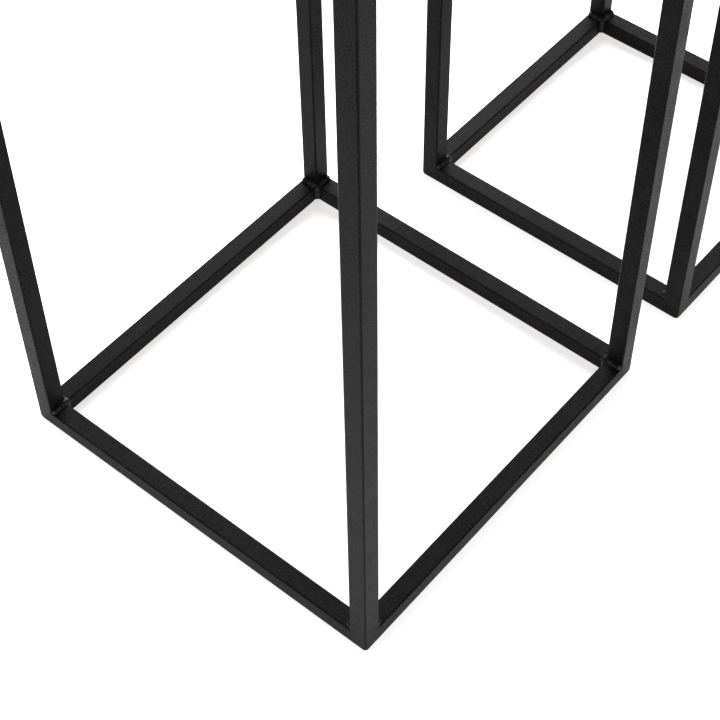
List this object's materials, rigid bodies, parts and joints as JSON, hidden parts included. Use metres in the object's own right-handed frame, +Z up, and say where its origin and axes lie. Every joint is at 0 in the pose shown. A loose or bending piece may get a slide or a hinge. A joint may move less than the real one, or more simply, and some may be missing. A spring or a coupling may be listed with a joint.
{
  "type": "nesting tables",
  "caption": "Nesting side tables with slim frames of black square steel tube, closed base rings and inset wooden tops, standing side by side; the smaller fits inside the larger.",
  "frame": {"origin": "on the floor, under the middle of the bounding box of the two tables as they stand side by side", "axes": "+X along the row, from the large table to the small one; +Y from the front to the back; +Z up"},
  "size_m": [0.7, 0.35, 0.65],
  "materials": {
    "powder_coat": "matt black powder coat with a fine texture",
    "wood_top": "oiled, straight grain in glued staves",
    "screw": "bright zinc plated",
    "foot_pad": "matt black"
  },
  "bodies": {
    "large_table": {"large_leg_front_left": "powder_coat", "large_leg_front_right": "powder_coat", "large_leg_back_left": "powder_coat", "large_leg_back_right": "powder_coat", "large_base_rail_front": "powder_coat", "large_base_rail_back": "powder_coat", "large_base_rail_left": "powder_coat", "large_base_rail_right": "powder_coat", "large_top_rail_front": "powder_coat", "large_top_rail_back": "powder_coat", "large_top_rail_left": "powder_coat", "large_top_rail_right": "powder_coat", "large_top_plate_front_left": "powder_coat", "large_top_plate_front_right": "powder_coat", "large_top_plate_back_left": "powder_coat", "large_top_plate_back_right": "powder_coat", "large_foot_pad_front_left": "foot_pad", "large_foot_pad_front_right": "foot_pad", "large_foot_pad_back_left": "foot_pad", "large_foot_pad_back_right": "foot_pad", "large_table_top": "wood_top", "large_top_screws": "screw", "large_base_welds": "powder_coat", "large_top_welds": "powder_coat"},
    "small_table": {"small_leg_front_left": "powder_coat", "small_leg_front_right": "powder_coat", "small_leg_back_left": "powder_coat", "small_leg_back_right": "powder_coat", "small_base_rail_front": "powder_coat", "small_base_rail_back": "powder_coat", "small_base_rail_left": "powder_coat", "small_base_rail_right": "powder_coat", "small_top_rail_front": "powder_coat", "small_top_rail_back": "powder_coat", "small_top_rail_left": "powder_coat", "small_top_rail_right": "powder_coat", "small_top_plate_front_left": "powder_coat", "small_top_plate_front_right": "powder_coat", "small_top_plate_back_left": "powder_coat", "small_top_plate_back_right": "powder_coat", "small_foot_pad_front_left": "foot_pad", "small_foot_pad_front_right": "foot_pad", "small_foot_pad_back_left": "foot_pad", "small_foot_pad_back_right": "foot_pad", "small_table_top": "wood_top", "small_top_screws": "screw", "small_base_welds": "powder_coat", "small_top_welds": "powder_coat"}
  },
  "joints": [
    {"name": "small_table_slide", "type": "slide", "parent": "large_table", "child": "small_table", "axis": [1, 0, 0], "range_m": [-0.069, 0.25]}
  ]
}
